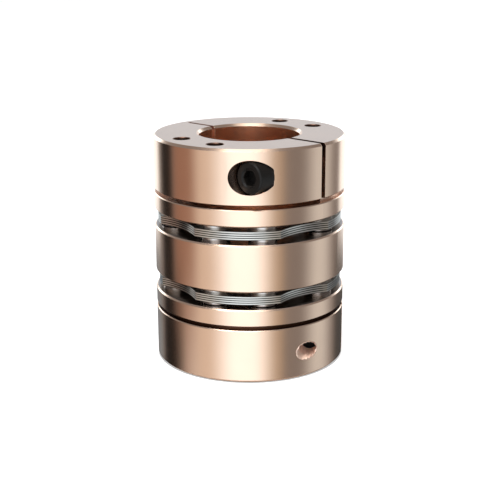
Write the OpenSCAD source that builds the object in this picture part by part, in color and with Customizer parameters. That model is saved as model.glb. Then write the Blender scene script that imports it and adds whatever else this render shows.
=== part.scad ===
// Double disc coupling: two clamping hubs, a centre spacer and two packs of thin steel leaves.
// All lengths are in millimetres. The shaft axis is Z, and the lower hub stands on z = 0.
// Angles round the axis are counted from -Y towards +X.

/* [Hubs and spacer] */
// Outer diameter of the hubs and the spacer
outer_d = 82; // [80:0.5:100]
// Diameter of the shaft bore in both hubs
bore_d = 43; // [35:0.5:44]
// Length of each hub along the shaft
hub_len = 31.7; // [30:0.1:45]
// Length of the centre spacer
spacer_len = 20; // [18:0.5:80]
// Diameter of the hole through the centre spacer
spacer_bore_d = 46; // [44:0.5:49]
// Thickness of the hub's flange beside its disc pack
flange_t = 7.2; // [6.5:0.1:9]
// Chamfer round the end face of each hub
end_chamfer = 1; // [0.3:0.1:1.5]
// Chamfer on the other outer edges
edge_chamfer = 0.6; // [0.2:0.1:1]
// Chamfer at the mouth of each shaft bore
bore_chamfer = 1.1; // [0.5:0.1:2]

/* [Clamp] */
// Width of the saw cut that parts the clamping jaw from the flange
saw_w = 1.7; // [1:0.1:2.5]
// Depth of the groove that carries the saw cut round the fixed half
groove_depth = 2.5; // [1:0.1:4]
// Width of the slit that the clamp screw closes
slit_w = 2.4; // [1.5:0.1:3]
// Width of the relief slot opposite the slit
relief_w = 1.8; // [1:0.1:2.4]
// Thickness of the web that is left outside the relief slot
web_t = 4; // [3:0.1:6]
// Wall between the shaft bore and the clamp screw's hole
clamp_wall = 2; // [0.8:0.1:2.4]
// Distance from the hubs' outer surface in to the seat of the clamp screw's head
seat_inset = 18.5; // [17:0.1:21]
// Thread diameter of the clamp screw
clamp_screw_d = 8; // [6:1:8]
// Length of the clamp screw under its head
clamp_screw_len = 40; // [30:1:44]
// Diameter of the clamp screw's head
clamp_head_d = 13; // [12:0.1:13.5]
// Height of the clamp screw's head
clamp_head_h = 8; // [6:0.1:9]
// Width across the flats of the clamp screw's socket
clamp_key_w = 6; // [4:0.5:7]

/* [Disc packs] */
// Thickness of one leaf
leaf_t = 0.9; // [0.5:0.05:1]
// Distance from the hubs' outer surface in to the end of a leaf's lug
leaf_inset = 1.4; // [0.5:0.1:3]
// Depth of the waist between two lugs, from the lug's end
waist_depth = 4.4; // [2:0.1:5]
// Radius of the curve that forms the waist
waist_curve_r = 34.8; // [28:0.2:50]
// Distance from the hubs' outer surface in to the axis of a disc screw
screw_inset = 9; // [8.6:0.1:9.2]
// Distance from a disc screw's axis in to the inner edge of a leaf
leaf_edge = 7; // [6.5:0.1:8]
// Angle from the middle of a lug to each of its two screws
lug_half_angle = 17.5; // [16:0.5:20]

/* [Disc fasteners] */
// Thread diameter of a disc screw
disc_screw_d = 6; // [5:1:6]
// Diameter of a disc screw's low head
disc_head_d = 10; // [8.5:0.1:10.5]
// Height of a disc screw's low head
disc_head_h = 4; // [3:0.1:4.5]
// Width across the flats of a disc screw's socket
disc_key_w = 4; // [3:0.5:5]
// Diameter of the collars and the washers
collar_d = 12; // [11:0.1:12.2]
// Thickness of a collar, which sets the gap beside each disc pack
collar_t = 1.85; // [1.6:0.05:3]
// Diameter of the holes that let a key reach the disc screws
key_hole_d = 7.2; // [6:0.1:7.5]

/* [Fits] */
// Gap between a thread and its tapped hole, all round
thread_gap = 0.05; // [0.02:0.01:0.1]
// Gap between the clamp screw and the hole through the jaw, all round
clamp_hole_gap = 0.5; // [0.3:0.1:0.8]
// Gap between the clamp screw's head and its counterbore, all round
counterbore_gap = 0.5; // [0.3:0.1:0.8]
// Gap between a disc screw and the hole in a leaf, all round
leaf_hole_gap = 0.1; // [0.05:0.05:0.3]
// Gap between a disc screw and the hole in a collar or a washer, all round
collar_hole_gap = 0.2; // [0.1:0.05:0.4]
// Gap between a disc screw's head and the wall of its pocket, all round
pocket_gap = 1.3; // [0.8:0.1:1.4]
// Gap between the top of a disc screw's head and the floor of its pocket
head_float = 0.75; // [0.5:0.05:1]
// Gap between a washer and the flange or spacer beside it
washer_gap = 0.35; // [0.2:0.05:0.6]
// Distance from a disc screw's tip back to the far side of the flange
tip_back = 0.15; // [0.05:0.05:1]

/* [Hidden] */
LEAVES = 4;
SCREWS = 4;
$fn = 120;

ANODISED = [0.85, 0.68, 0.54];
LEAF_STEEL = [0.78, 0.79, 0.80];
COLLAR_STEEL = [0.72, 0.73, 0.75];
BLACK_OXIDE = [0.07, 0.07, 0.08];

// Small chamfers that follow standard tooling
inner_chamfer = 0.5;
groove_chamfer = 0.35;
mouth_chamfer = 0.3;
head_chamfer = 0.5;
tip_chamfer = 0.6;
// Chamfer round the mouth of a screw's socket
socket_flare = 0.6;
// Share of a head's height that its socket is deep
socket_share = 0.5;
// How far a cut runs past the surface that it opens
over = 1;

outer_r = outer_d / 2;
bore_r = bore_d / 2;
screw_r = outer_r - screw_inset;
leaf_r = outer_r - leaf_inset;
waist_r = leaf_r - waist_depth;
leaf_bore_r = screw_r - leaf_edge;
clamp_hole_r = clamp_screw_d / 2 + clamp_hole_gap;
clamp_x = bore_r + clamp_wall + clamp_hole_r;
clamp_seat = outer_r - seat_inset;
ring_len = hub_len - flange_t - saw_w;
clamp_z = flange_t + saw_w + ring_len / 2;
washer_t = collar_t - washer_gap;
pack_t = LEAVES * leaf_t;
disc_screw_len = washer_t + pack_t + collar_t + flange_t - tip_back;
tap_depth = flange_t + saw_w / 2;
pocket_r = disc_head_d / 2 + pocket_gap;
pocket_depth = washer_t + disc_head_h + head_float - collar_t;

// Heights of the faces and of the middle of each disc pack
spacer_z = hub_len + pack_t + 2 * collar_t;
upper_hub_z = spacer_z + spacer_len + pack_t + 2 * collar_t;
lower_pack_z = hub_len + collar_t + pack_t / 2;
upper_pack_z = upper_hub_z - collar_t - pack_t / 2;

// The upper hub is turned by one screw pitch against the lower hub and the disc packs
upper_turn = -lug_half_angle;
lower_turn = lug_half_angle;
pack_turn = lower_turn;

// Angle of screw k from the middle of the pair of lugs that it belongs to
function screw_angle(k) = (k > 2 ? 180 : 0) + (k % 2 == 1 ? -lug_half_angle : lug_half_angle);

// Puts its children at an angle round the shaft axis and a distance from it
module at_angle(angle, r) {
    rotate([0, 0, angle])
        translate([0, -r, 0])
            children();
}

// Puts its children at the four screws of one pair of lugs, which starts at an angle
module at_screws(first_angle) {
    for (k = [1 : SCREWS])
        at_angle(first_angle + screw_angle(k), screw_r)
            children();
}

// Turned ring with chamfers on its bore and its outer edges, standing on z = 0
module turned_ring(inside_r, length, low_chamfer, high_chamfer, high_edge) {
    rotate_extrude()
        polygon([
            [inside_r + low_chamfer, 0],
            [outer_r - edge_chamfer, 0],
            [outer_r, edge_chamfer],
            [outer_r, length - high_edge],
            [outer_r - high_edge, length],
            [inside_r + high_chamfer, length],
            [inside_r, length - high_chamfer],
            [inside_r, low_chamfer]
        ]);
}

// Ring-shaped cut that leaves a groove with broken edges
module groove_cut() {
    rotate_extrude()
        polygon([
            [outer_r - groove_depth, flange_t],
            [outer_r - groove_chamfer, flange_t],
            [outer_r + over, flange_t - groove_chamfer - over],
            [outer_r + over, flange_t + saw_w + groove_chamfer + over],
            [outer_r - groove_chamfer, flange_t + saw_w],
            [outer_r - groove_depth, flange_t + saw_w]
        ]);
}

// Hole along the shaft axis from a height up through the end face, with a broken mouth
module key_hole(from_z, to_z) {
    hole_r = key_hole_d / 2;
    translate([0, 0, from_z])
        cylinder(r = hole_r, h = to_z - from_z + over);
    translate([0, 0, to_z - mouth_chamfer])
        cylinder(r1 = hole_r, r2 = hole_r + mouth_chamfer + over, h = mouth_chamfer + over);
}

// Pocket for a disc screw's head, cut upwards from z = 0
module head_pocket() {
    translate([0, 0, -over])
        cylinder(r = pocket_r, h = pocket_depth + over);
}

// Tapped hole for a disc screw, cut upwards from z = 0
module disc_tap() {
    translate([0, 0, -over])
        cylinder(r = disc_screw_d / 2 + thread_gap, h = tap_depth + over);
}

// Cuts for the clamp screw: counterbore and clear hole in the jaw, tapped hole beyond the slit
module clamp_cuts() {
    translate([clamp_x, 0, clamp_z])
        rotate([90, 0, 0]) {
            cylinder(r = clamp_hole_r, h = clamp_seat + over);
            translate([0, 0, clamp_seat])
                cylinder(r = clamp_head_d / 2 + counterbore_gap, h = outer_r);
            translate([0, 0, -outer_r - over])
                cylinder(r = clamp_screw_d / 2 + thread_gap, h = outer_r + 2 * over);
        }
}

// Clamping hub with its flange on z = 0, its jaw towards -Y and its slit along +X
module hub(lug_angle) {
    color(ANODISED)
        difference() {
            turned_ring(bore_r, hub_len, inner_chamfer, bore_chamfer, end_chamfer);
            groove_cut();
            translate([-outer_r - over, -outer_r - over, flange_t])
                cube([2 * (outer_r + over), outer_r + over + slit_w / 2, saw_w]);
            translate([0, -slit_w / 2, flange_t])
                cube([outer_r + over, slit_w, hub_len]);
            translate([-(outer_r - web_t), -relief_w / 2, flange_t])
                cube([outer_r - web_t, relief_w, hub_len]);
            clamp_cuts();
            at_screws(0)
                key_hole(-over, hub_len);
            at_screws(lug_angle)
                head_pocket();
            at_screws(lug_angle + 90)
                disc_tap();
        }
}

module place_upper_hub() {
    translate([0, 0, upper_hub_z])
        rotate([0, 0, upper_turn])
            children();
}

module place_lower_hub() {
    translate([0, 0, hub_len])
        rotate([0, 0, lower_turn])
            rotate([180, 0, 0])
                children();
}

module upper_hub() {
    place_upper_hub()
        hub(pack_turn - upper_turn);
}

module lower_hub() {
    place_lower_hub()
        hub(lower_turn - pack_turn);
}

// Ring between the disc packs: tapped for two lugs of each pack, pocketed for the other two
module centre_spacer() {
    color(ANODISED)
        translate([0, 0, spacer_z + spacer_len / 2])
            difference() {
                translate([0, 0, -spacer_len / 2])
                    turned_ring(spacer_bore_d / 2, spacer_len, inner_chamfer, inner_chamfer, edge_chamfer);
                for (side = [0, 1])
                    mirror([0, 0, side])
                        translate([0, 0, -spacer_len / 2]) {
                            at_screws(pack_turn)
                                disc_tap();
                            at_screws(pack_turn + 90)
                                head_pocket();
                        }
                at_screws(pack_turn + 90)
                    cylinder(r = key_hole_d / 2, h = spacer_len, center = true);
            }
}

// Socket screw with its seat on z = 0, its head above and its thread below
module socket_screw(thread_d, length, head_d, head_h, key_w) {
    socket_depth = head_h * socket_share;
    socket_r = key_w / 2 / cos(30);
    difference() {
        rotate_extrude()
            polygon([
                [0, -length],
                [thread_d / 2 - tip_chamfer, -length],
                [thread_d / 2, -length + tip_chamfer],
                [thread_d / 2, 0],
                [head_d / 2, 0],
                [head_d / 2, head_h - head_chamfer],
                [head_d / 2 - head_chamfer, head_h],
                [0, head_h]
            ]);
        translate([0, 0, head_h - socket_depth])
            cylinder(r = socket_r, h = socket_depth + over, $fn = 6);
        translate([0, 0, head_h - socket_flare])
            cylinder(r1 = socket_r, r2 = socket_r + socket_flare + over, h = socket_flare + over);
    }
}

module clamp_screw() {
    color(BLACK_OXIDE)
        translate([clamp_x, -clamp_seat, clamp_z])
            rotate([90, 0, 0])
                socket_screw(clamp_screw_d, clamp_screw_len, clamp_head_d, clamp_head_h, clamp_key_w);
}

module disc_screw() {
    color(COLLAR_STEEL)
        socket_screw(disc_screw_d, disc_screw_len, disc_head_d, disc_head_h, disc_key_w);
}

// Thin plate with four lugs, which two screws each hold, and curved waists between them
module leaf() {
    color(LEAF_STEEL)
        linear_extrude(leaf_t)
            difference() {
                circle(r = leaf_r);
                for (k = [0 : 3])
                    rotate(45 + 90 * k)
                        translate([waist_r + waist_curve_r, 0])
                            circle(r = waist_curve_r);
                circle(r = leaf_bore_r);
                for (lug = [0 : 3])
                    for (side = [-1, 1])
                        rotate(90 * lug + side * lug_half_angle)
                            translate([0, -screw_r])
                                circle(r = disc_screw_d / 2 + leaf_hole_gap);
            }
}

// Flat steel ring that a disc screw passes through, standing on z = 0
module steel_ring(thickness) {
    color(COLLAR_STEEL)
        difference() {
            cylinder(d = collar_d, h = thickness);
            translate([0, 0, -over])
                cylinder(r = disc_screw_d / 2 + collar_hole_gap, h = thickness + 2 * over);
        }
}

// Puts its children in the frame of one disc pack: z = 0 is its middle and its hub is above
module in_pack(end) {
    translate([0, 0, end == "upper" ? upper_pack_z : lower_pack_z])
        rotate([0, 0, pack_turn])
            mirror([0, 0, end == "upper" ? 0 : 1])
                children();
}

module pack_leaf(end, k) {
    in_pack(end)
        translate([0, 0, pack_t / 2 - k * leaf_t])
            leaf();
}

// Screw k of those that hold the pack to its hub, with its head on the spacer's side
module hub_screw(end, k) {
    in_pack(end)
        at_angle(90 + screw_angle(k), screw_r)
            mirror([0, 0, 1])
                translate([0, 0, pack_t / 2 + washer_t])
                    disc_screw();
}

// Screw k of those that hold the pack to the spacer, with its head on the hub's side
module spacer_screw(end, k) {
    in_pack(end)
        at_angle(screw_angle(k), screw_r)
            translate([0, 0, pack_t / 2 + washer_t])
                disc_screw();
}

// Collars between the pack and what its screws are threaded into
module collars(end, side) {
    in_pack(end)
        at_screws(side == "hub" ? 90 : 0)
            mirror([0, 0, side == "hub" ? 0 : 1])
                translate([0, 0, pack_t / 2])
                    steel_ring(collar_t);
}

// Washers under the screw heads that lie on one side of the pack
module washers(end, side) {
    in_pack(end)
        at_screws(side == "hub" ? 0 : 90)
            mirror([0, 0, side == "hub" ? 0 : 1])
                translate([0, 0, pack_t / 2])
                    steel_ring(washer_t);
}

upper_hub();
centre_spacer();
lower_hub();
place_upper_hub() clamp_screw();  // upper_clamp_screw
place_lower_hub() clamp_screw();  // lower_clamp_screw
for (end = ["upper", "lower"]) {
    for (k = [1 : LEAVES])
        pack_leaf(end, k);
    for (k = [1 : SCREWS]) {
        hub_screw(end, k);
        spacer_screw(end, k);
    }
    for (side = ["hub", "spacer"]) {
        collars(end, side);
        washers(end, side);
    }
}
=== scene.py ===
"""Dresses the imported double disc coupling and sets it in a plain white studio.

The hubs, spacer, leaves and fasteners are the CAD solids themselves. This file gives them their metal
finishes, cuts the thread into the clamp screws' tapped holes, and adds the floor, the light and the camera.
All lengths are in metres. The shaft axis is Z, and angles round it are counted from -Y towards +X.
"""

import math

import bmesh
import bpy
from bpy.props import FloatProperty, FloatVectorProperty, IntProperty, PointerProperty
from mathutils import Matrix, Vector


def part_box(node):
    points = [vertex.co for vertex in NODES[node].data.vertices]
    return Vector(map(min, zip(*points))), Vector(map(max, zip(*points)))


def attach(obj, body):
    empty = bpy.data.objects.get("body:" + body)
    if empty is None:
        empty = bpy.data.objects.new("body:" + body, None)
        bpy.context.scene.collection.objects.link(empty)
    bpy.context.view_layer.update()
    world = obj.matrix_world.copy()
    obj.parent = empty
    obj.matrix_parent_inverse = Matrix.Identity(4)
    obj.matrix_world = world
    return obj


bl_info = {
    "name": "Double Disc Coupling",
    "version": (1, 0, 0),
    "blender": (4, 5, 0),
    "location": "View3D > Sidebar > Coupling",
    "description": "Metal finishes, threads and studio for a double disc coupling",
    "category": "Object",
}

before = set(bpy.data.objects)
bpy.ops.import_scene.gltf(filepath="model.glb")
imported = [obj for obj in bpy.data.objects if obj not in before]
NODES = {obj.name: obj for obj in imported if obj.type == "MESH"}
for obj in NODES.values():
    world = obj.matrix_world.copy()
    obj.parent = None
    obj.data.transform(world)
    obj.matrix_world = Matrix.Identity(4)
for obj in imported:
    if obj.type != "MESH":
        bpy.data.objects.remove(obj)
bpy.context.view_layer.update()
MM = 0.001

ENDS = ("upper", "lower")

# Sizes of the coupling
TOP_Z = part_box("upper_hub")[1].z
HUB_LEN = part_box("lower_hub")[1].z
OUTER_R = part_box("centre_spacer")[1].x
BORE_R = 21.5 * MM
FLANGE_THICKNESS = 7.2 * MM
SAW_WIDTH = 1.7 * MM
SLOT_WIDTH = 1.8 * MM
# Distance from the hub's end face to the middle of its saw cut
SAW_HEIGHT = HUB_LEN - FLANGE_THICKNESS - SAW_WIDTH / 2
MIDDLE = Vector((0, 0, TOP_Z / 2))

# A hub's own frame has its flange face at Z = 0 and its end face at HUB_LEN
HUB_TURN = math.radians(17.5)
HUB_PLACE = {
    "upper": Matrix.Translation((0, 0, TOP_Z - HUB_LEN)) @ Matrix.Rotation(-HUB_TURN, 4, "Z"),
    "lower": (Matrix.Translation((0, 0, HUB_LEN)) @ Matrix.Rotation(HUB_TURN, 4, "Z")
              @ Matrix.Rotation(math.pi, 4, "X")),
}
SLOT_DIRECTION = Vector((-1, 0, 0))

# The clamp screw runs along Y in the hub's own frame
CLAMP_X = 28.0 * MM
CLAMP_Z = 20.3 * MM
SCREW_TIP = 17.5 * MM
TAP_RADIUS = 4.05 * MM


# Settings
class FinishSettings(bpy.types.PropertyGroup):
    """Colours and textures of the metal parts."""

    anodised_colour: FloatVectorProperty(
        name="Anodised colour", description="Colour of the anodised hubs and spacer",
        subtype="COLOR", size=3, min=0, max=1, default=(0.90, 0.66, 0.50))
    anodised_roughness: FloatProperty(
        name="Anodised roughness", description="How matt the anodised surfaces are",
        subtype="FACTOR", min=0, max=1, default=0.22)
    turned_pitch: FloatProperty(
        name="Turning pitch", description="Distance between two turning marks",
        unit="LENGTH", min=0.00002, max=0.002, default=0.16 * MM)
    turned_depth: FloatProperty(
        name="Turning depth", description="Height of the turning marks",
        unit="LENGTH", min=0, max=0.0001, default=0.0006 * MM)
    edge_radius: FloatProperty(
        name="Edge radius", description="How far the sharp edges of the hubs and spacer are eased",
        unit="LENGTH", min=0, max=0.001, default=0.12 * MM)
    # Painted shade: a dark brown on the sawn and drilled walls, where shade falls inside the cuts and holes
    recess_shade_colour: FloatVectorProperty(
        name="Recess colour", description="Colour of the sawn and drilled walls of the hubs and spacer",
        subtype="COLOR", size=3, min=0, max=1, default=(0.29, 0.17, 0.12))
    # Painted light: a light tone on the sawn walls deep in the upper hub, where light reaches into the saw
    # cut
    upper_deep_light_colour: FloatVectorProperty(
        name="Upper deep colour", description="Colour of the sawn walls that lie deep in the upper hub",
        subtype="COLOR", size=3, min=0, max=1, default=(0.84, 0.61, 0.48))
    # Painted shade: a near-black brown on the sawn walls deep in the lower hub
    lower_deep_shade_colour: FloatVectorProperty(
        name="Lower deep colour", description="Colour of the sawn walls that lie deep in the lower hub",
        subtype="COLOR", size=3, min=0, max=1, default=(0.15, 0.075, 0.045))
    # Painted shade: a darker brown on the relief slots' walls near the end faces
    slot_mouth_shade_colour: FloatVectorProperty(
        name="Slot mouth colour", description="Colour of the relief slots' walls at the end faces",
        subtype="COLOR", size=3, min=0, max=1, default=(0.50, 0.27, 0.20))
    # Painted shade: a darker grey-brown on the level faces that look at the disc packs, which the packs shade
    facing_shade_colour: FloatVectorProperty(
        name="Facing colour", description="Colour of the faces that look at the disc packs",
        subtype="COLOR", size=3, min=0, max=1, default=(0.46, 0.38, 0.33))
    # Painted reflection: a redder copper on the bore and relief slot walls, for light mirrored to and fro
    # inside the bore
    bore_reflection_colour: FloatVectorProperty(
        name="Bore colour", description="Colour of the shaft bores' walls",
        subtype="COLOR", size=3, min=0, max=1, default=(1.0, 0.65, 0.46))
    thread_colour: FloatVectorProperty(
        name="Thread colour", description="Colour of the threads cut into the hubs",
        subtype="COLOR", size=3, min=0, max=1, default=(1.0, 0.75, 0.61))
    thread_roughness: FloatProperty(
        name="Thread roughness", description="How matt the threads cut into the hubs are",
        subtype="FACTOR", min=0, max=1, default=0.6)
    leaf_colour: FloatVectorProperty(
        name="Leaf colour", description="Colour of the rolled steel leaves",
        subtype="COLOR", size=3, min=0, max=1, default=(0.65, 0.635, 0.585))
    # Painted shade: near-black lines along the leaves' edges, where shade falls in the gaps between them
    leaf_gap_shade_colour: FloatVectorProperty(
        name="Leaf gap colour", description="Colour of the lines between the leaves of a pack",
        subtype="COLOR", size=3, min=0, max=1, default=(0.03, 0.03, 0.03))
    # Width of the painted shade line at each leaf joint
    leaf_gap: FloatProperty(
        name="Leaf gap", description="Width of the dark line along each edge of a leaf",
        unit="LENGTH", min=0, max=0.0004, default=0.2 * MM)
    leaf_roughness: FloatProperty(
        name="Leaf roughness", description="How matt the leaves are",
        subtype="FACTOR", min=0, max=1, default=0.30)
    plated_colour: FloatVectorProperty(
        name="Plated colour", description="Colour of the collars and washers",
        subtype="COLOR", size=3, min=0, max=1, default=(0.55, 0.51, 0.48))
    plated_roughness: FloatProperty(
        name="Plated roughness", description="How matt the collars and washers are",
        subtype="FACTOR", min=0, max=1, default=0.17)
    oxide_colour: FloatVectorProperty(
        name="Black oxide colour", description="Colour of the screws",
        subtype="COLOR", size=3, min=0, max=1, default=(0.010, 0.009, 0.008))
    oxide_roughness: FloatProperty(
        name="Black oxide roughness", description="How matt the screws are",
        subtype="FACTOR", min=0, max=1, default=0.42)


class ThreadSettings(bpy.types.PropertyGroup):
    """Sizes of the thread in the clamp screws' tapped holes."""

    pitch: FloatProperty(
        name="Thread pitch", description="Distance between two turns of the thread",
        unit="LENGTH", min=0.0005, max=0.003, default=1.25 * MM)
    depth: FloatProperty(
        name="Thread depth", description="How far the thread stands in from the wall of its hole",
        unit="LENGTH", min=0.0001, max=0.001, default=0.62 * MM)
    steps: IntProperty(
        name="Steps round", description="How many steps make one turn of the thread",
        min=24, max=192, default=96)


class StudioSettings(bpy.types.PropertyGroup):
    """Camera and light."""

    camera_angle: FloatProperty(
        name="Camera angle", description="Angle of the camera round the shaft axis",
        unit="ROTATION", default=math.radians(25.5))
    camera_distance: FloatProperty(
        name="Camera distance", description="Level distance from the shaft axis to the camera",
        unit="LENGTH", default=0.4538)
    camera_height: FloatProperty(
        name="Camera height", description="Height of the camera over the floor",
        unit="LENGTH", default=0.1759)
    camera_pitch: FloatProperty(
        name="Camera pitch", description="How far the camera looks down",
        unit="ROTATION", default=math.radians(16.02))
    camera_roll: FloatProperty(
        name="Camera roll", description="How far the camera leans to its side",
        unit="ROTATION", default=math.radians(-0.18))
    camera_lens: FloatProperty(
        name="Lens", description="Focal length of the camera",
        unit="CAMERA", default=77.36)
    surround: FloatProperty(
        name="Surround", description="Brightness of the grey wall that stands round the object",
        min=0, max=2, default=0.25)
    softbox: FloatProperty(
        name="Softbox", description="Brightness of the main softbox in front",
        min=0, max=5, default=1.7)


# Shader tools
FLOAT = "NodeSocketFloat"
VECTOR = "NodeSocketVector"
WHITE = (1.0, 1.0, 1.0, 1.0)
# Sockets of a Mix node that mixes colours
FIRST_COLOUR, SECOND_COLOUR, MIXED_COLOUR = 6, 7, 2


def new_group(name, inputs, outputs):
    """Makes an empty shader node group with named sockets, and returns it with its two end nodes."""
    group = bpy.data.node_groups.new(name, "ShaderNodeTree")
    for socket_name, kind, default in inputs:
        socket = group.interface.new_socket(socket_name, in_out="INPUT", socket_type=kind)
        socket.default_value = default
    for socket_name, kind in outputs:
        group.interface.new_socket(socket_name, in_out="OUTPUT", socket_type=kind)
    entry = group.nodes.new("NodeGroupInput")
    leave = group.nodes.new("NodeGroupOutput")
    entry.location, leave.location = (-900, 0), (900, 0)
    return group, entry, leave


class Wiring:
    """Adds nodes to one node tree and joins them."""

    def __init__(self, tree):
        self.tree = tree
        self.column = -700

    def add(self, kind, inputs=None, **settings):
        """Adds a node. Each of its inputs is a plain value or the socket that feeds it."""
        node = self.tree.nodes.new(kind)
        node.location = (self.column, 0)
        self.column += 40
        for key, value in settings.items():
            setattr(node, key, value)
        for key, value in (inputs or {}).items():
            if isinstance(value, bpy.types.NodeSocket):
                self.tree.links.new(value, node.inputs[key])
            else:
                node.inputs[key].default_value = value
        return node

    def effect(self, name, build, values):
        """Places a shared effect, which is built at its first use, with this material's own values."""
        group = bpy.data.node_groups.get(name) or build()
        return self.add("ShaderNodeGroup", values, node_tree=group)

    def join(self, source, target):
        """Feeds one socket into another."""
        self.tree.links.new(source, target)

    def maths(self, operation, first, second=0.0, third=None):
        """Adds a Math node, and returns what it gives out."""
        inputs = {0: first, 1: second}
        if third is not None:
            inputs[2] = third
        return self.add("ShaderNodeMath", inputs, operation=operation).outputs[0]

    def spread(self, value, low, high):
        """Takes a value between 0 and 1 to the range from low to high."""
        node = self.add("ShaderNodeMapRange", {"Value": value, "To Min": low, "To Max": high})
        return node.outputs["Result"]

    def ramp(self, value, start, end, **settings):
        """Runs from 0 where the value is start to 1 where it is end."""
        inputs = {"Value": value, "From Min": start, "From Max": end}
        return self.add("ShaderNodeMapRange", inputs, **settings).outputs["Result"]

    def distance(self, first, second):
        """How far apart two values are."""
        return self.maths("ABSOLUTE", self.maths("SUBTRACT", first, second))

    def parts(self, vector):
        """The X, Y and Z sockets of a vector."""
        return self.add("ShaderNodeSeparateXYZ", {0: vector}).outputs

    def radius_squared(self, parts):
        """Squared distance from the shaft axis."""
        return self.maths("ADD", self.maths("POWER", parts[0], 2.0), self.maths("POWER", parts[1], 2.0))

    def is_upright(self, slope):
        """1 on walls that stand upright, where slope is the Z of their normal."""
        return self.maths("LESS_THAN", self.maths("ABSOLUTE", slope), 0.5)


# Shared effects
def turned_finish_group():
    """Fine rings left by the lathe: lines along the height on walls and rings on end faces."""
    group, entry, leave = new_group(
        "Turned finish",
        [("Pitch", FLOAT, 0.16 * MM), ("Roughness", FLOAT, 0.22), ("Spread", FLOAT, 0.05)],
        [("Height", FLOAT), ("Roughness", FLOAT), ("Tint", FLOAT)])
    fine_share = 0.6
    cloud_scale = 90.0
    w = Wiring(group)
    place = w.add("ShaderNodeTexCoord").outputs["Object"]
    parts = w.parts(place)
    along = w.maths("ADD", w.maths("SQRT", w.radius_squared(parts)), parts[2])
    turns = w.maths("DIVIDE", along, entry.outputs["Pitch"])
    fine = w.add("ShaderNodeTexNoise", {"W": turns, "Scale": 1.0, "Detail": 2.0}, noise_dimensions="1D")
    slow = w.add("ShaderNodeTexNoise", {"Vector": place, "Scale": cloud_scale, "Detail": 3.0})
    fine_part = w.maths("MULTIPLY", fine.outputs["Fac"], fine_share)
    slow_part = w.maths("MULTIPLY", slow.outputs["Fac"], 1.0 - fine_share)
    uneven = w.maths("SUBTRACT", w.maths("ADD", fine_part, slow_part), 0.5)
    offset = w.maths("MULTIPLY", uneven, entry.outputs["Spread"])
    w.join(fine.outputs["Fac"], leave.inputs["Height"])
    w.join(w.maths("ADD", entry.outputs["Roughness"], offset), leave.inputs["Roughness"])
    w.join(slow.outputs["Fac"], leave.inputs["Tint"])
    return group


def eased_edge_group():
    """Rounds the shading over sharp edges."""
    group, entry, leave = new_group("Eased edges", [("Radius", FLOAT, 0.2 * MM)], [("Normal", VECTOR)])
    w = Wiring(group)
    eased = w.add("ShaderNodeBevel", {"Radius": entry.outputs["Radius"]}, samples=6)
    w.join(eased.outputs[0], leave.inputs["Normal"])
    return group


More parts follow.
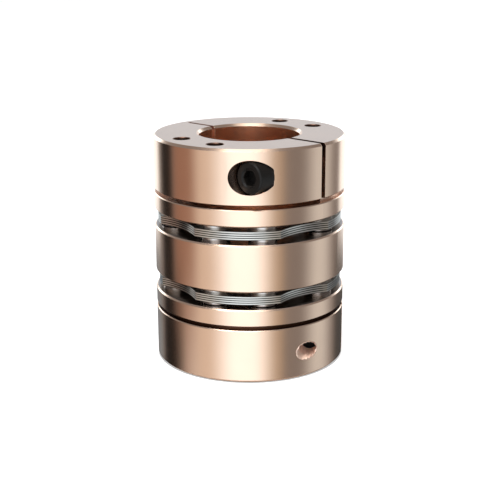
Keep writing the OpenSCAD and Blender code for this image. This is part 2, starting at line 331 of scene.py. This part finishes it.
def recess_group():
    """Marks the walls and faces of a hub or the spacer that get painted shade, painted light and painted
    reflections.

    Recess is the sawn and drilled walls, which get painted shade, and Deep those far from the end face, which
    is at Face Height; the deep walls get painted light in the upper hub and painted shade in the lower one.
    Bore is the walls of the shaft bore and of the relief slot, which get a painted reflection, Slot those of
    the slot alone, and Slot Mouth the slot's walls close to the end face, which get painted shade. Facing is
    the level faces that look at the disc packs, which get painted shade. They lie as far above and below the
    Middle as Reach says.
    """
    group, entry, leave = new_group(
        "Recess walls",
        [("Bore Radius", FLOAT, BORE_R), ("Outer Radius", FLOAT, OUTER_R),
         ("Saw Width", FLOAT, SAW_WIDTH), ("Saw Height", FLOAT, -1.0),
         ("Slot Width", FLOAT, SLOT_WIDTH), ("Slot Direction", VECTOR, (0.0, 0.0, 0.0)),
         ("Face Height", FLOAT, 0.0), ("Middle", FLOAT, 0.0), ("Reach", FLOAT, 0.0)],
        [("Recess", FLOAT), ("Bore", FLOAT), ("Deep", FLOAT), ("Slot", FLOAT), ("Slot Mouth", FLOAT),
         ("Facing", FLOAT)])
    bore_margin = 0.4 * MM
    saw_margin = 0.04 * MM
    face_margin = 0.05 * MM
    ring_margin = 2.0 * MM
    skin = (0.2 * MM, 0.9 * MM)
    deep_from = (4.0 * MM, 7.0 * MM)
    mouth_to = (2.0 * MM, 1.0 * MM)
    # A little over half of the slot's width, to take in its walls
    slot_share = 0.55

    w = Wiring(group)
    coordinates = w.add("ShaderNodeTexCoord")
    place = w.parts(coordinates.outputs["Object"])
    slope = w.parts(coordinates.outputs["Normal"])[2]
    square = w.radius_squared(place)
    radius = w.maths("SQRT", square)
    inward = w.maths("SUBTRACT", entry.outputs["Outer Radius"], radius)
    from_end_face = w.distance(entry.outputs["Face Height"], place[2])
    upright = w.is_upright(slope)

    # The relief slot, and the bore with it
    ahead = w.add("ShaderNodeVectorMath", {
        0: coordinates.outputs["Object"], 1: entry.outputs["Slot Direction"]}, operation="DOT_PRODUCT")
    ahead = ahead.outputs["Value"]
    aside = w.maths("SQRT", w.maths("SUBTRACT", square, w.maths("POWER", ahead, 2.0)))
    beside = w.maths("LESS_THAN", aside, w.maths("MULTIPLY", entry.outputs["Slot Width"], slot_share))
    in_slot = w.maths("MULTIPLY", beside, w.maths("GREATER_THAN", ahead, 0.0))
    slot_wall = w.maths("MULTIPLY", in_slot, upright)
    within_bore = w.maths("LESS_THAN", radius, w.maths("ADD", entry.outputs["Bore Radius"], bore_margin))
    in_bore = w.maths("MAXIMUM", within_bore, in_slot)
    w.join(slot_wall, leave.inputs["Slot"])
    w.join(w.maths("MULTIPLY", slot_wall, w.ramp(from_end_face, *mouth_to)), leave.inputs["Slot Mouth"])
    w.join(w.maths("MULTIPLY", in_bore, upright), leave.inputs["Bore"])

    # The faces that look at the disc packs
    height = w.distance(place[2], entry.outputs["Middle"])
    off_face = w.distance(height, entry.outputs["Reach"])
    w.join(w.maths("LESS_THAN", off_face, face_margin), leave.inputs["Facing"])

    # The saw cut, the slit and the holes, and the cones of the holes inside the end face's ring
    half_saw = w.maths("MULTIPLY", w.maths("ADD", entry.outputs["Saw Width"], saw_margin), 0.5)
    in_saw_cut = w.maths("LESS_THAN", w.distance(place[2], entry.outputs["Saw Height"]), half_saw)
    sawn = w.maths("MAXIMUM", upright, in_saw_cut)
    outside_bore = w.maths("SUBTRACT", 1.0, in_bore)
    walls = w.maths("MULTIPLY", w.maths("MULTIPLY", sawn, outside_bore), w.ramp(inward, *skin))
    slanted = w.maths("LESS_THAN", w.maths("ABSOLUTE", slope), 0.9)
    off_rim = w.maths("GREATER_THAN", inward, ring_margin)
    off_bore = w.maths("GREATER_THAN", radius, w.maths("ADD", entry.outputs["Bore Radius"], ring_margin))
    cones = w.maths("MULTIPLY", slanted, w.maths("MULTIPLY", off_rim, off_bore))
    recess = w.maths("MAXIMUM", walls, cones)
    w.join(recess, leave.inputs["Recess"])
    w.join(w.maths("MULTIPLY", recess, w.ramp(from_end_face, *deep_from)), leave.inputs["Deep"])
    return group


def rolled_grain_group():
    """Grain and faint clouding of rolled or plated steel."""
    group, entry, leave = new_group(
        "Rolled grain",
        [("Grain", FLOAT, 0.2 * MM), ("Stretch", FLOAT, 6.0), ("Roughness", FLOAT, 0.3),
         ("Spread", FLOAT, 0.08)],
        [("Height", FLOAT), ("Roughness", FLOAT), ("Cloud", FLOAT)])
    cloud_scale = 240.0
    w = Wiring(group)
    place = w.add("ShaderNodeTexCoord").outputs["Object"]
    length = w.maths("DIVIDE", 1.0, w.maths("MULTIPLY", entry.outputs["Grain"], entry.outputs["Stretch"]))
    across = w.maths("DIVIDE", 1.0, entry.outputs["Grain"])
    scale = w.add("ShaderNodeCombineXYZ", {0: length, 1: across, 2: across})
    stretched = w.add("ShaderNodeVectorMath", {0: place, 1: scale.outputs[0]}, operation="MULTIPLY")
    grain = w.add("ShaderNodeTexNoise", {"Vector": stretched.outputs[0], "Scale": 1.0, "Detail": 3.0})
    cloud = w.add("ShaderNodeTexNoise", {"Vector": place, "Scale": cloud_scale, "Detail": 2.0})
    offset = w.maths("MULTIPLY", w.maths("SUBTRACT", grain.outputs["Fac"], 0.5), entry.outputs["Spread"])
    w.join(grain.outputs["Fac"], leave.inputs["Height"])
    w.join(w.maths("ADD", entry.outputs["Roughness"], offset), leave.inputs["Roughness"])
    w.join(cloud.outputs["Fac"], leave.inputs["Cloud"])
    return group


def leaf_gap_group():
    """Marks the sheared edges of a pack of leaves where two leaves meet, for the painted shade in the gaps.
    """
    group, entry, leave = new_group(
        "Leaf gaps",
        [("Thickness", FLOAT, 0.9 * MM), ("Pack Height", FLOAT, 0.0), ("Gap", FLOAT, 0.2 * MM)],
        [("Gap", FLOAT)])
    clear_share, dark_share = 1.3, 0.7
    w = Wiring(group)
    coordinates = w.add("ShaderNodeTexCoord")
    height = w.parts(coordinates.outputs["Object"])[2]
    upright = w.is_upright(w.parts(coordinates.outputs["Normal"])[2])
    # Distance from the nearest joint between two leaves, which is half a leaf at most
    half_leaf = w.maths("MULTIPLY", entry.outputs["Thickness"], 0.5)
    from_joint = w.maths("PINGPONG", w.distance(height, entry.outputs["Pack Height"]), half_leaf)
    clear_at = w.maths("MULTIPLY", entry.outputs["Gap"], clear_share)
    dark_at = w.maths("MULTIPLY", entry.outputs["Gap"], dark_share)
    w.join(w.maths("MULTIPLY", w.ramp(from_joint, clear_at, dark_at), upright), leave.inputs["Gap"])
    return group


# Materials
def new_metal(name, metallic=1.0):
    """Makes an empty material with a Principled BSDF, and returns it with its wiring and shader."""
    material = bpy.data.materials.new(name)
    material.use_nodes = True
    w = Wiring(material.node_tree)
    shader = material.node_tree.nodes["Principled BSDF"]
    shader.inputs["Metallic"].default_value = metallic
    return material, w, shader


def mixed(w, mask, first, second):
    """First colour, from a socket, which turns into the second one where the mask is 1."""
    mix = w.add("ShaderNodeMix", data_type="RGBA")
    w.join(mask, mix.inputs["Factor"])
    w.join(first, mix.inputs[FIRST_COLOUR])
    mix.inputs[SECOND_COLOUR].default_value = (*second, 1.0)
    return mix.outputs[MIXED_COLOUR]


def tinted(w, colour, mask, low, high):
    """Colour made darker and lighter by a mask over the surface."""
    level = w.spread(mask, low, high)
    grey = w.add("ShaderNodeCombineColor", {0: level, 1: level, 2: level})
    mix = w.add("ShaderNodeMix", data_type="RGBA", blend_type="MULTIPLY")
    mix.inputs["Factor"].default_value = 1.0
    mix.inputs[FIRST_COLOUR].default_value = (*colour, 1.0)
    w.join(grey.outputs[0], mix.inputs[SECOND_COLOUR])
    return mix.outputs[MIXED_COLOUR]


def mark_surface(w, shader, height, depth, edge_radius):
    """Gives a surface fine marks of this depth, and eases its edges."""
    eased = w.effect("Eased edges", eased_edge_group, {"Radius": edge_radius})
    bump = w.add("ShaderNodeBump", {"Height": height, "Normal": eased.outputs["Normal"],
                                    "Distance": depth, "Strength": 1.0})
    w.join(bump.outputs["Normal"], shader.inputs["Normal"])


def anodised_material(name, finish, places, deep_light_and_shade):
    """Turned and anodised aluminium. Places say where this piece has its saw cut, slot and faces."""
    tint = (0.96, 1.04)
    recess_rougher = 0.05
    slot_rougher = 0.25
    material, w, shader = new_metal(name)
    turned = w.effect("Turned finish", turned_finish_group, {
        "Pitch": finish.turned_pitch, "Roughness": finish.anodised_roughness, "Spread": 0.05})
    recess = w.effect("Recess walls", recess_group, places)
    colour = tinted(w, finish.anodised_colour, turned.outputs["Tint"], *tint)
    # Painted shade on the recess walls, the slot mouths and the faces that look at the disc packs,
    # painted light deep in the upper hub's saw cut, painted shade deep in the lower one's, and a painted
    # reflection in the bores
    for mask, tone in (("Recess", finish.recess_shade_colour), ("Deep", deep_light_and_shade), ("Bore", finish.bore_reflection_colour),
                       ("Slot Mouth", finish.slot_mouth_shade_colour), ("Facing", finish.facing_shade_colour)):
        colour = mixed(w, recess.outputs[mask], colour, tone)
    w.join(colour, shader.inputs["Base Color"])
    rough = w.maths("MULTIPLY_ADD", recess.outputs["Recess"], recess_rougher, turned.outputs["Roughness"])
    rough = w.maths("MULTIPLY_ADD", recess.outputs["Slot"], slot_rougher, rough)
    w.join(rough, shader.inputs["Roughness"])
    mark_surface(w, shader, turned.outputs["Height"], finish.turned_depth, finish.edge_radius)
    return material


def steel_material(name, colour, roughness, grain, stretch, spread, depth, metallic=1.0, shine=0.5):
    """Rolled, plated or blackened steel, whose grain is this wide, this much longer and this deep."""
    tint = (0.9, 1.1)
    edge_radius = 0.15 * MM
    material, w, shader = new_metal(name, metallic)
    shader.inputs["Specular IOR Level"].default_value = shine
    rolled = w.effect("Rolled grain", rolled_grain_group, {
        "Grain": grain, "Stretch": stretch, "Roughness": roughness, "Spread": spread})
    w.join(tinted(w, colour, rolled.outputs["Cloud"], *tint), shader.inputs["Base Color"])
    w.join(rolled.outputs["Roughness"], shader.inputs["Roughness"])
    mark_surface(w, shader, rolled.outputs["Height"], depth, edge_radius)
    return material


def paint(names, material):
    """Gives each of these CAD nodes the material."""
    for name in names:
        for slot in NODES[name].material_slots:
            slot.material = material


# The coupling's pieces
def new_object(name, bm, material):
    """Turns a bmesh into an object of the scene."""
    mesh = bpy.data.meshes.new(name)
    bm.to_mesh(mesh)
    bm.free()
    mesh.materials.append(material)
    made = bpy.data.objects.new(name, mesh)
    bpy.context.scene.collection.objects.link(made)
    return made


def new_piece(name, bm, material):
    """Turns a bmesh into a piece that rides on the coupling."""
    sharp_angle = math.radians(35)
    bmesh.ops.recalc_face_normals(bm, faces=bm.faces)
    piece = new_object(name, bm, material)
    piece.data.shade_smooth()
    piece.data.set_sharp_from_angle(angle=sharp_angle)
    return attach(piece, "root")


def thread_height(turn):
    """Height of a cut thread, from 0 at its root to 1 at its crest, where turn counts its turns."""
    root_share, flank_share = 0.125, 0.75
    from_crest = abs(turn - math.floor(turn) - 0.5) * 2
    return min(1.0, max(0.0, (1 - root_share - from_crest) / flank_share))


def joined_row(row, rows, shift):
    """Row of the next column that this row joins. Only the rows between the first and the last one shift."""
    if row in (0, rows - 1):
        return row
    return min(row + shift, rows - 2)


def thread_lining(settings):
    """Thread of the clamp screw's tapped hole, from the screw's tip out to the hub's outer surface."""
    slices = 12
    tip_gap, wall_gap, mouth_gap = 0.3 * MM, 0.02 * MM, 0.05 * MM
    weld_distance = 0.0005 * MM
    bm = bmesh.new()
    steps, pitch = settings.steps, settings.pitch
    start = SCREW_TIP + tip_gap
    wall = TAP_RADIUS - wall_gap
    first = math.floor(start / pitch) - 2
    last = math.ceil(OUTER_R / pitch) + 1
    columns = []
    for i in range(steps):
        angle = 2 * math.pi * i / steps
        mouth = math.sqrt(OUTER_R ** 2 - (CLAMP_X + wall * math.sin(angle)) ** 2) - mouth_gap
        profile = [(wall, start)]
        for k in range((last - first) * slices + 1):
            y = pitch * (first + k / slices + i / steps)
            y = min(max(y, start), mouth)
            profile.append((wall - settings.depth * thread_height(y / pitch - i / steps), y))
        profile.append((wall, mouth))
        column = []
        for r, y in profile:
            column.append(bm.verts.new((CLAMP_X + r * math.sin(angle), y, CLAMP_Z + r * math.cos(angle))))
        columns.append(column)
    rows = len(columns[0])
    for i in range(steps):
        here, there = columns[i], columns[(i + 1) % steps]
        # The first column is a whole turn of the thread behind the last one
        shift = slices if i == steps - 1 else 0
        for low in range(rows):
            high = (low + 1) % rows
            corners = (here[low], here[high], there[joined_row(high, rows, shift)],
                       there[joined_row(low, rows, shift)])
            bm.faces.new(list(dict.fromkeys(corners)))
    bmesh.ops.remove_doubles(bm, verts=bm.verts, dist=weld_distance)
    return bm


class COUPLING_OT_anodised(bpy.types.Operator):
    """Give the hubs and the spacer their turned, champagne anodised finish"""

    bl_idname = "coupling.anodised"
    bl_label = "Hubs and Spacer"

    def execute(self, context):
        finish = context.scene.coupling_finish
        for end in ENDS:
            low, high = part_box(f"{end}_hub")
            # The upper hub's deep walls get painted light, the lower hub's painted shade
            if end == "upper":
                end_face, flange_face, deep_light_and_shade = high.z, low.z, finish.upper_deep_light_colour
                saw_height = end_face - SAW_HEIGHT
            else:
                end_face, flange_face, deep_light_and_shade = low.z, high.z, finish.lower_deep_shade_colour
                saw_height = end_face + SAW_HEIGHT
            places = {
                "Saw Height": saw_height,
                "Slot Direction": HUB_PLACE[end].to_3x3() @ SLOT_DIRECTION,
                "Face Height": end_face,
                "Middle": flange_face,
            }
            material = anodised_material(f"Champagne anodised, {end} hub", finish, places, deep_light_and_shade)
            paint([f"{end}_hub"], material)
        low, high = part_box("centre_spacer")
        places = {"Middle": (high.z + low.z) / 2, "Reach": (high.z - low.z) / 2}
        # The spacer's deep walls get the same painted shade as its other recess walls
        material = anodised_material("Champagne anodised, spacer", finish, places, finish.recess_shade_colour)
        paint(["centre_spacer"], material)
        return {"FINISHED"}


class COUPLING_OT_leaves(bpy.types.Operator):
    """Give the leaves of both disc packs their rolled steel finish"""

    bl_idname = "coupling.leaves"
    bl_label = "Leaves"

    def execute(self, context):
        finish = context.scene.coupling_finish
        for end in ENDS:
            material = steel_material(f"Spring steel, {end} pack", finish.leaf_colour, finish.leaf_roughness,
                                      grain=0.12 * MM, stretch=14.0, spread=0.10, depth=0.0008 * MM)
            leaves = [name for name in NODES if name.startswith(f"{end}_leaf_")]
            heights = [corner.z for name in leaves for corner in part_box(name)]
            low, high = min(heights), max(heights)
            w = Wiring(material.node_tree)
            # Painted shade: near-black lines where two leaves meet, for the shade in the gaps between them
            gaps = w.effect("Leaf gaps", leaf_gap_group, {
                "Thickness": (high - low) / len(leaves), "Pack Height": (low + high) / 2,
                "Gap": finish.leaf_gap})
            colour = material.node_tree.nodes["Principled BSDF"].inputs["Base Color"]
            plain = colour.links[0].from_socket
            w.join(mixed(w, gaps.outputs["Gap"], plain, finish.leaf_gap_shade_colour), colour)
            paint(leaves, material)
        return {"FINISHED"}


class COUPLING_OT_collars(bpy.types.Operator):
    """Give the collars and washers of the disc packs their bright plated finish"""

    bl_idname = "coupling.collars"
    bl_label = "Collars and Washers"

    def execute(self, context):
        finish = context.scene.coupling_finish
        material = steel_material("Bright plated steel", finish.plated_colour, finish.plated_roughness,
                                  grain=0.25 * MM, stretch=2.0, spread=0.06, depth=0.0005 * MM)
        paint([name for name in NODES if name.endswith(("_collars", "_washers"))], material)
        return {"FINISHED"}


class COUPLING_OT_screws(bpy.types.Operator):
    """Give the clamp screws and the disc screws their black oxide finish"""

    bl_idname = "coupling.screws"
    bl_label = "Screws"

    def execute(self, context):
        finish = context.scene.coupling_finish
        material = steel_material("Black oxide", finish.oxide_colour, finish.oxide_roughness, grain=0.2 * MM,
                                  stretch=1.0, spread=0.12, depth=0.002 * MM, metallic=0.0, shine=0.2)
        paint([name for name in NODES if "_screw" in name], material)
        return {"FINISHED"}


class COUPLING_OT_tapped_threads(bpy.types.Operator):
    """Cut the thread that shows in the far end of each clamp screw's tapped hole"""

    bl_idname = "coupling.tapped_threads"
    bl_label = "Tapped Threads"

    def execute(self, context):
        finish = context.scene.coupling_finish
        material = steel_material("Cut thread", finish.thread_colour, finish.thread_roughness,
                                  grain=0.15 * MM, stretch=1.0, spread=0.1, depth=0.001 * MM)
        for end in ENDS:
            bm = thread_lining(context.scene.coupling_thread)
            bm.transform(HUB_PLACE[end])
            new_piece(f"{end}_tapped_thread", bm, material)
        return {"FINISHED"}


# The studio
def around(azimuth, distance, z):
    """Point at this level distance from the shaft axis, at this angle round it and this height."""
    return Vector((distance * math.sin(azimuth), -distance * math.cos(azimuth), z))


def studio_spot(azimuth, rise, distance):
    """Point round the coupling's middle, at angles from the camera and from the horizon in degrees."""
    turn = bpy.context.scene.coupling_studio.camera_angle + math.radians(azimuth)
    rise = math.radians(rise)
    return MIDDLE + around(turn, distance * math.cos(rise), distance * math.sin(rise))


def card_material(name, tone, strength, fades):
    """Light card or flag whose edges fade out, over these parts of its width and its height."""
    material = bpy.data.materials.new(name)
    material.use_nodes = True
    tree = material.node_tree
    tree.nodes.clear()
    w = Wiring(tree)
    uv = w.parts(w.add("ShaderNodeTexCoord").outputs["UV"])
    masks = []
    for axis, fade in enumerate(fades):
        inward = w.maths("SUBTRACT", 0.5, w.distance(uv[axis], 0.5))
        masks.append(w.ramp(inward, 0.0, fade, interpolation_type="SMOOTHSTEP"))
    light = w.add("ShaderNodeEmission", {"Color": (*tone, 1.0), "Strength": strength})
    clear = w.add("ShaderNodeBsdfTransparent")
    mix = w.add("ShaderNodeMixShader", {
        0: w.maths("MULTIPLY", *masks), 1: clear.outputs[0], 2: light.outputs[0]})
    w.join(mix.outputs[0], w.add("ShaderNodeOutputMaterial").inputs["Surface"])
    return material


def add_card(name, centre, width, low, high, tone, strength, distance, side_fade=12, end_fade=8):
    """Curved card round the coupling. Angles are in degrees, from the camera and from the horizon."""
    degrees_a_column, degrees_a_row = 4, 6
    bm = bmesh.new()
    uv_layer = bm.loops.layers.uv.new("UVMap")
    columns, rows = int(width / degrees_a_column), int((high - low) / degrees_a_row)
    grid = []
    for i in range(columns + 1):
        azimuth = centre + width * (i / columns - 0.5)
        line = []
        for k in range(rows + 1):
            line.append(bm.verts.new(studio_spot(azimuth, low + (high - low) * k / rows, distance)))
        grid.append(line)
    for i in range(columns):
        for k in range(rows):
            spots = ((i, k), (i + 1, k), (i + 1, k + 1), (i, k + 1))
            face = bm.faces.new([grid[a][b] for a, b in spots])
            for loop, (a, b) in zip(face.loops, spots):
                loop[uv_layer].uv = (a / columns, b / rows)
    fades = (min(side_fade / width, 0.5), min(end_fade / (high - low), 0.5))
    card = new_object(name, bm, card_material(name, tone, strength, fades))
    card.visible_camera = False
    card.visible_diffuse = False
    card.visible_shadow = False


def add_cards(studio):
    """Cards that the coupling mirrors. A nearer card covers those behind it."""
    # Grey wall all round, with a darker floor and a bright strip low behind the coupling
    add_card("surround", centre=-3, width=316, low=-89, high=75, tone=(0.96, 0.92, 0.94),
             strength=studio.surround, distance=1.6, side_fade=6, end_fade=5)
    add_card("rear_floor", centre=173, width=112, low=-89, high=-12, tone=(0.9, 0.95, 1.0),
             strength=0.07, distance=1.56, side_fade=18, end_fade=7)
    add_card("rear_left_floor", centre=-157, width=50, low=-89, high=-14, tone=(0.78, 0.90, 1.0),
             strength=0.32, distance=1.55, side_fade=9, end_fade=5)
    add_card("rear_glow", centre=178.5, width=99, low=-17, high=3, tone=(0.88, 0.95, 1.0),
             strength=1.5, distance=1.54, side_fade=9, end_fade=5)
    # Panels that light the rims and the chamfers
    add_card("left_rim_panel", centre=-147, width=44, low=3, high=28, tone=(0.84, 0.93, 1.0),
             strength=3.0, distance=1.53, side_fade=8, end_fade=8)
    add_card("right_rim_panel", centre=149, width=42, low=3, high=27, tone=(0.84, 0.93, 1.0),
             strength=2.6, distance=1.53, side_fade=8, end_fade=8)
    add_card("rear_panel", centre=180, width=52, low=0, high=50, tone=(0.80, 0.89, 1.0),
             strength=0.8, distance=1.52, side_fade=12, end_fade=7)
    # Bands that the outer walls mirror, from the left to the right
    add_card("warm_wall", centre=-80, width=52, low=-60, high=4, tone=(0.34, 0.20, 0.15),
             strength=1.0, distance=1.5, side_fade=12)
    add_card("low_left_flag", centre=-108, width=58, low=-60, high=-16, tone=(0.01, 0.01, 0.01),
             strength=1.0, distance=1.48, side_fade=14, end_fade=6)
    add_card("low_left_panel", centre=-60, width=90, low=-60, high=-17, tone=(0.72, 0.69, 0.67),
             strength=1.0, distance=1.46, side_fade=40, end_fade=6)
    add_card("left_shoulder", centre=-50, width=51, low=-60, high=4, tone=(0.76, 0.67, 0.60),
             strength=1.0, distance=1.45, side_fade=19)
    add_card("right_shoulder", centre=26, width=40, low=-60, high=4, tone=(0.49, 0.41, 0.32),
             strength=1.0, distance=1.4, side_fade=12)
    add_card("cool_panel", centre=92, width=63, low=-60, high=4, tone=(0.68, 0.74, 0.78),
             strength=1.0, distance=1.35, side_fade=29)
    add_card("left_flag", centre=-114.5, width=32, low=-60, high=16, tone=(0.01, 0.01, 0.01),
             strength=1.0, distance=1.25, side_fade=8)
    # Main light in front, and the one over the end face
    add_card("front_softbox", centre=-8, width=88, low=-60, high=34, tone=(0.87, 0.93, 1.0),
             strength=studio.softbox, distance=1.2, side_fade=33)
    add_card("overhead", centre=-8, width=120, low=62, high=89, tone=(1.0, 0.98, 0.98),
             strength=1.7, distance=1.15, side_fade=24, end_fade=5)


def floor_disc(name, radius, z, shine_only):
    """Round white floor. The small one under the coupling shows only in reflections."""
    tone, roughness, glow_strength = 0.85, 0.8, 0.55
    bm = bmesh.new()
    bmesh.ops.create_circle(bm, cap_ends=True, segments=96, radius=radius)
    bmesh.ops.translate(bm, verts=bm.verts, vec=(0, 0, z))
    material, w, shader = new_metal(name, metallic=0.0)
    shader.inputs["Base Color"].default_value = (tone, tone, tone, 1.0)
    shader.inputs["Roughness"].default_value = roughness
    shader.inputs["Specular IOR Level"].default_value = 0.0
    if not shine_only:
        shader.inputs["Emission Color"].default_value = WHITE
        path = w.add("ShaderNodeLightPath")
        glow = w.maths("MULTIPLY", path.outputs["Is Camera Ray"], glow_strength)
        w.join(glow, shader.inputs["Emission Strength"])
    disc = new_object(name, bm, material)
    disc.visible_camera = not shine_only
    disc.visible_glossy = shine_only


def studio_world():
    """White to the camera and in reflections, and a softer fill light for everything else."""
    fill_strength, white_strength = 0.6, 1.0
    world = bpy.data.worlds.new("Studio")
    bpy.context.scene.world = world
    world.use_nodes = True
    tree = world.node_tree
    tree.nodes.clear()
    w = Wiring(tree)
    path = w.add("ShaderNodeLightPath")
    seen = w.maths("MAXIMUM", path.outputs["Is Camera Ray"], path.outputs["Is Glossy Ray"])
    seen = w.maths("MAXIMUM", seen, path.outputs["Is Transmission Ray"])
    fill = w.add("ShaderNodeBackground", {"Color": WHITE, "Strength": fill_strength})
    white = w.add("ShaderNodeBackground", {"Color": WHITE, "Strength": white_strength})
    mix = w.add("ShaderNodeMixShader", {0: seen, 1: fill.outputs[0], 2: white.outputs[0]})
    w.join(mix.outputs[0], w.add("ShaderNodeOutputWorld").inputs["Surface"])


def add_lamp(name, azimuth, rise, distance, size, power):
    """Round area lamp that points at the coupling's middle and stays out of the picture."""
    lamp = bpy.data.lights.new(name, "AREA")
    lamp.shape = "DISK"
    lamp.size = size
    lamp.energy = power
    holder = bpy.data.objects.new(name, lamp)
    holder.location = studio_spot(azimuth, rise, distance)
    aim = MIDDLE - holder.location
    holder.rotation_euler = aim.to_track_quat("-Z", "Y").to_euler()
    bpy.context.scene.collection.objects.link(holder)
    holder.visible_camera = False


def add_camera(scene, studio):
    """Camera at the photograph's angle, a little off the line to the shaft axis."""
    sensor_width = 36.0
    sideways = -0.31 * MM
    off_axis = math.radians(-0.057)
    camera_data = bpy.data.cameras.new("camera")
    camera_data.sensor_width = sensor_width
    camera_data.lens = studio.camera_lens
    camera = bpy.data.objects.new("camera", camera_data)
    scene.collection.objects.link(camera)
    angle = studio.camera_angle
    aside = sideways * Vector((math.cos(angle), math.sin(angle), 0))
    camera.location = around(angle, studio.camera_distance, studio.camera_height) + aside
    turn = Matrix.Rotation(angle + off_axis, 4, "Z")
    tilt = Matrix.Rotation(math.pi / 2 - studio.camera_pitch, 4, "X")
    roll = Matrix.Rotation(studio.camera_roll, 4, "Z")
    camera.rotation_euler = (turn @ tilt @ roll).to_euler()
    scene.camera = camera


class COUPLING_OT_studio(bpy.types.Operator):
    """Set up the floor, the light and the camera"""

    bl_idname = "coupling.studio"
    bl_label = "Studio"

    def execute(self, context):
        scene = context.scene
        studio = scene.coupling_studio
        scene.view_settings.view_transform = "Standard"
        studio_world()
        floor_disc("floor", radius=3.0, z=-0.05 * MM, shine_only=False)
        floor_disc("floor_under_coupling", radius=OUTER_R, z=-0.03 * MM, shine_only=True)
        add_cards(studio)
        add_lamp("key_lamp", azimuth=-20, rise=60, distance=1.4, size=1.0, power=12.0)
        add_camera(scene, studio)
        return {"FINISHED"}


# Panel and registration
STEPS = (
    COUPLING_OT_anodised,
    COUPLING_OT_leaves,
    COUPLING_OT_collars,
    COUPLING_OT_screws,
    COUPLING_OT_tapped_threads,
    COUPLING_OT_studio,
)


class COUPLING_PT_panel(bpy.types.Panel):
    """Steps and settings of the coupling"""

    bl_idname = "COUPLING_PT_panel"
    bl_label = "Double Disc Coupling"
    bl_space_type = "VIEW_3D"
    bl_region_type = "UI"
    bl_category = "Coupling"

    def draw(self, context):
        for step in STEPS:
            self.layout.operator(step.bl_idname)
        for group in SETTINGS:
            box = self.layout.box()
            settings = getattr(context.scene, group)
            for name in settings.__annotations__:
                box.prop(settings, name)


SETTINGS = {
    "coupling_finish": FinishSettings,
    "coupling_thread": ThreadSettings,
    "coupling_studio": StudioSettings,
}
CLASSES = (*SETTINGS.values(), *STEPS, COUPLING_PT_panel)


def register():
    for cls in CLASSES:
        bpy.utils.register_class(cls)
    for name, cls in SETTINGS.items():
        setattr(bpy.types.Scene, name, PointerProperty(type=cls))


def unregister():
    for name in SETTINGS:
        delattr(bpy.types.Scene, name)
    for cls in reversed(CLASSES):
        bpy.utils.unregister_class(cls)


def main():
    """Runs every step in order."""
    register()
    bpy.ops.coupling.anodised()
    bpy.ops.coupling.leaves()
    bpy.ops.coupling.collars()
    bpy.ops.coupling.screws()
    bpy.ops.coupling.tapped_threads()
    bpy.ops.coupling.studio()


if __name__ == "__main__":
    main()
